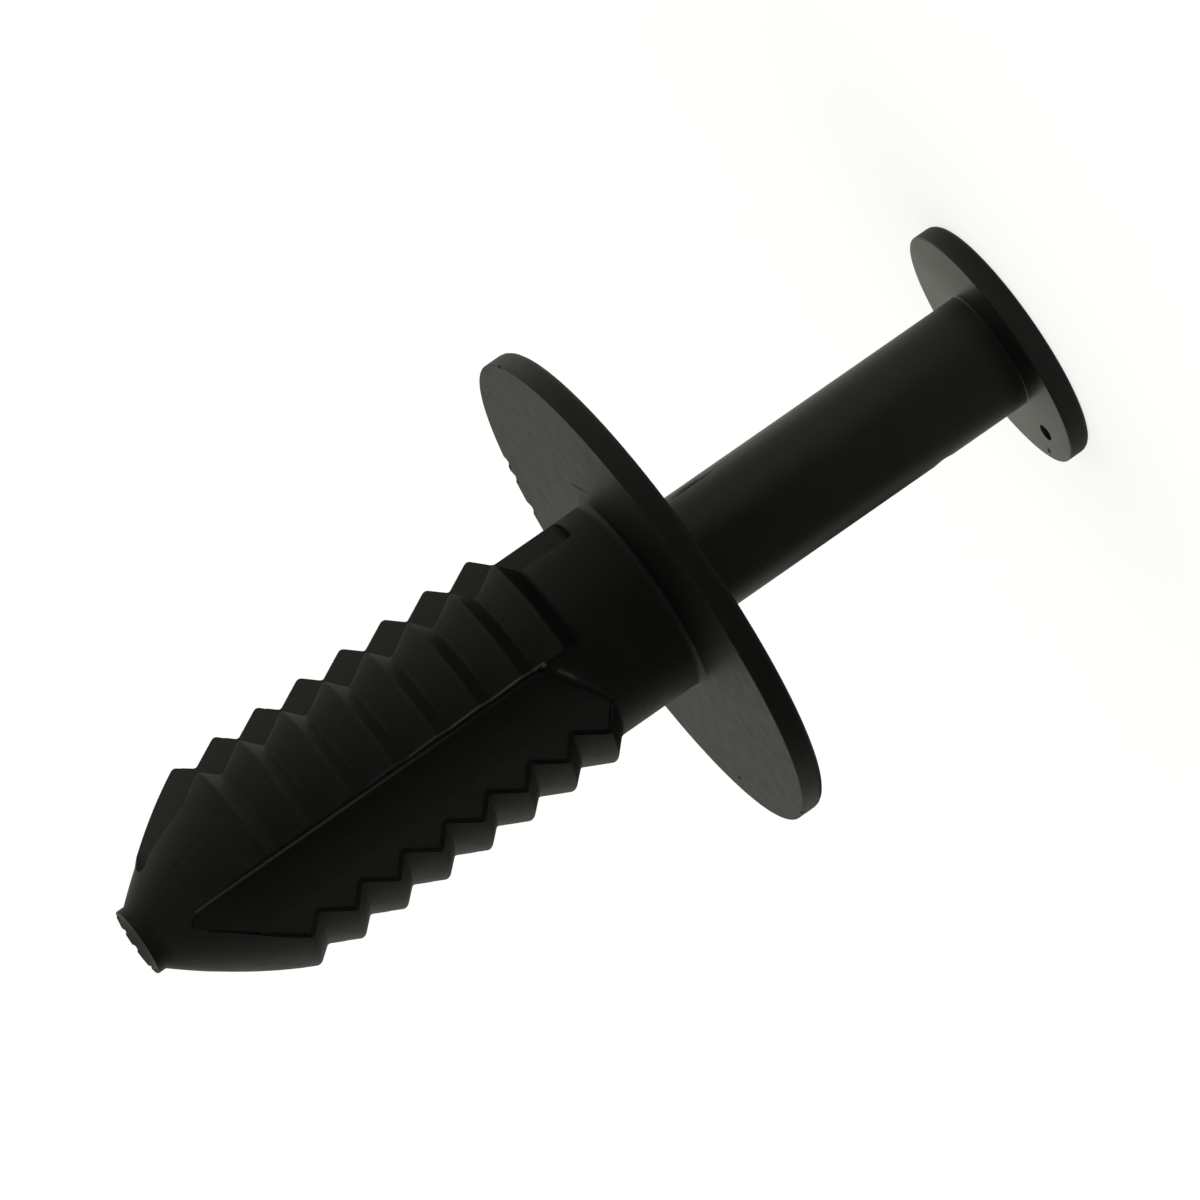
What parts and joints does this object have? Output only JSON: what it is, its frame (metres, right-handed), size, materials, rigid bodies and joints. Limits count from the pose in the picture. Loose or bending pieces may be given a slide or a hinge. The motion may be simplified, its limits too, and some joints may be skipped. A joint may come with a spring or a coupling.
{
  "type": "push rivet",
  "caption": "Black plastic push rivet: a barbed, slotted sleeve with a round flange and a headed drive pin that slides in to lock it in a panel hole.",
  "frame": {"origin": "centre of the drive pin head's outer face, on which the rivet stands", "axes": "+Z along the rivet's axis, from the pin's head to the sleeve's nose; -Y faces the side with the near barbed leg and flat that the picture shows"},
  "size_m": [0.02, 0.02, 0.0392],
  "materials": {
    "sleeve_plastic": "moulded black, satin",
    "pin_plastic": "moulded black, satin"
  },
  "bodies": {
    "sleeve": {"rivet_body": "sleeve_plastic"},
    "pin": {"drive_pin": "pin_plastic"}
  },
  "joints": [
    {"name": "pin_push", "type": "slide", "parent": "sleeve", "child": "pin", "axis": [0, 0, 1], "range_m": [0, 0.01478]}
  ]
}
